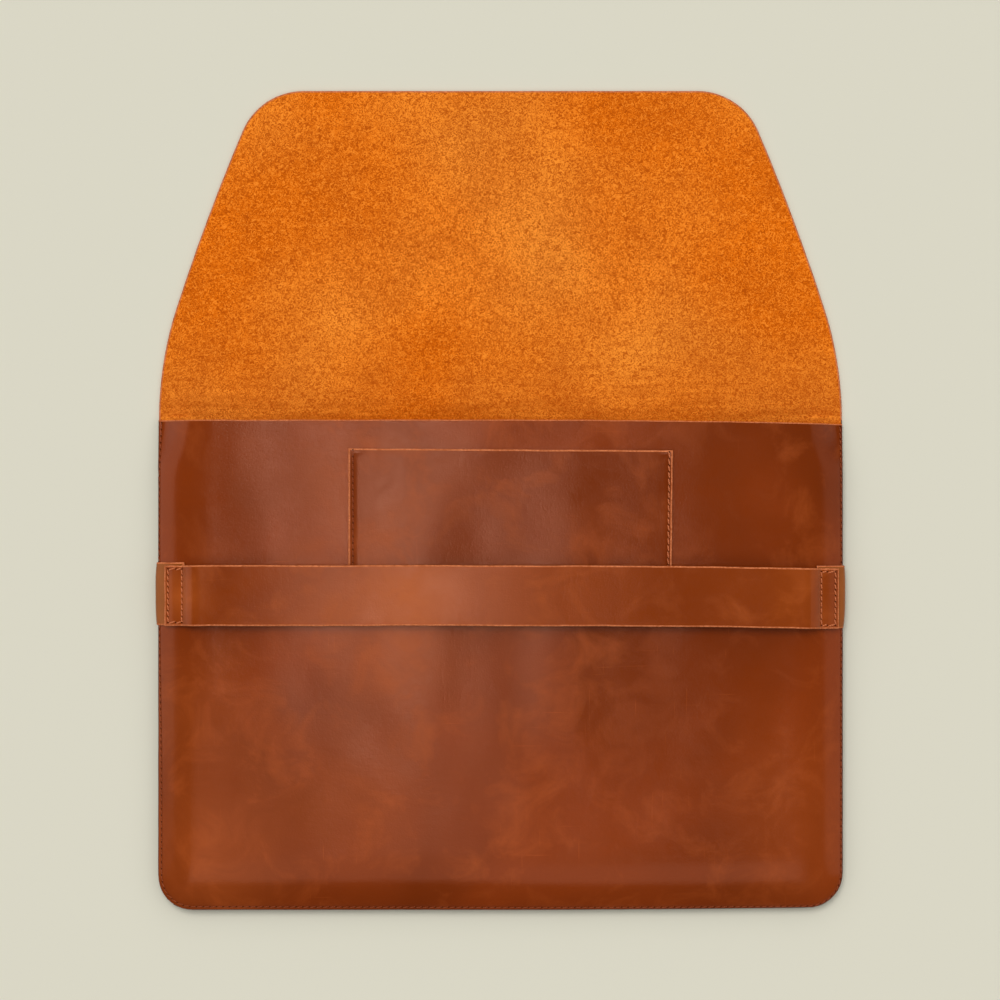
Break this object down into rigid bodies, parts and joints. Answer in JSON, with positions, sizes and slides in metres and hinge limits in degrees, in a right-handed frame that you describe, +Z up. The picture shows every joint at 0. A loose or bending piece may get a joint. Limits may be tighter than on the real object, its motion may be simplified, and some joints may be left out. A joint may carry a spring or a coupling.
{
  "type": "laptop sleeve",
  "caption": "Flat leather laptop sleeve lying open on its back, with a folding flap, a fixed front strap that the flap tucks under, and a slim front pocket.",
  "frame": {"origin": "centre of the body's back face, on the surface that the sleeve lies on", "axes": "+X across the sleeve to the right, +Y from the closed bottom to the mouth and the open flap, +Z up out of the front panel"},
  "size_m": [0.3434, 0.4063, 0.0223],
  "materials": {
    "body_leather": "cognac brown grain leather, semi-gloss, with a suede inside face",
    "flap_leather": "orange-brown suede flesh side, with a cognac brown grain face beneath",
    "pocket_leather": "cognac brown grain leather, semi-gloss, raw cut edges",
    "strap_leather": "cognac brown grain leather, semi-gloss, raw cut edges",
    "tab_leather": "tan brown leather, satin",
    "thread": "waxed tan sewing thread"
  },
  "bodies": {
    "sleeve": {"back_panel": "body_leather", "front_panel": "body_leather", "pocket_panel": "pocket_leather", "front_strap": "strap_leather", "strap_tab_left": "tab_leather", "strap_tab_right": "tab_leather", "seam_thread_front": "thread", "seam_thread_back": "thread", "pocket_thread": "thread", "strap_thread_left": "thread", "strap_thread_right": "thread", "strap_thread_back_left": "thread", "strap_thread_back_right": "thread"},
    "fold": {"fold_strip": "flap_leather"},
    "flap": {"flap_panel": "flap_leather"}
  },
  "joints": [
    {"name": "fold_crease", "type": "hinge", "parent": "sleeve", "child": "fold", "pos_m": [0, 0.1215, 0.0018], "axis": [1, 0, 0], "range_deg": [0, 90], "deforming": ["front_strap"]},
    {"name": "flap_crease", "type": "hinge", "parent": "fold", "child": "flap", "pos_m": [0, 0.1381, 0.0018], "axis": [1, 0, 0], "range_deg": [0, 90]}
  ],
  "couplings": [
    {"joint": "flap_crease", "follows": "fold_crease", "ratio": 1}
  ]
}
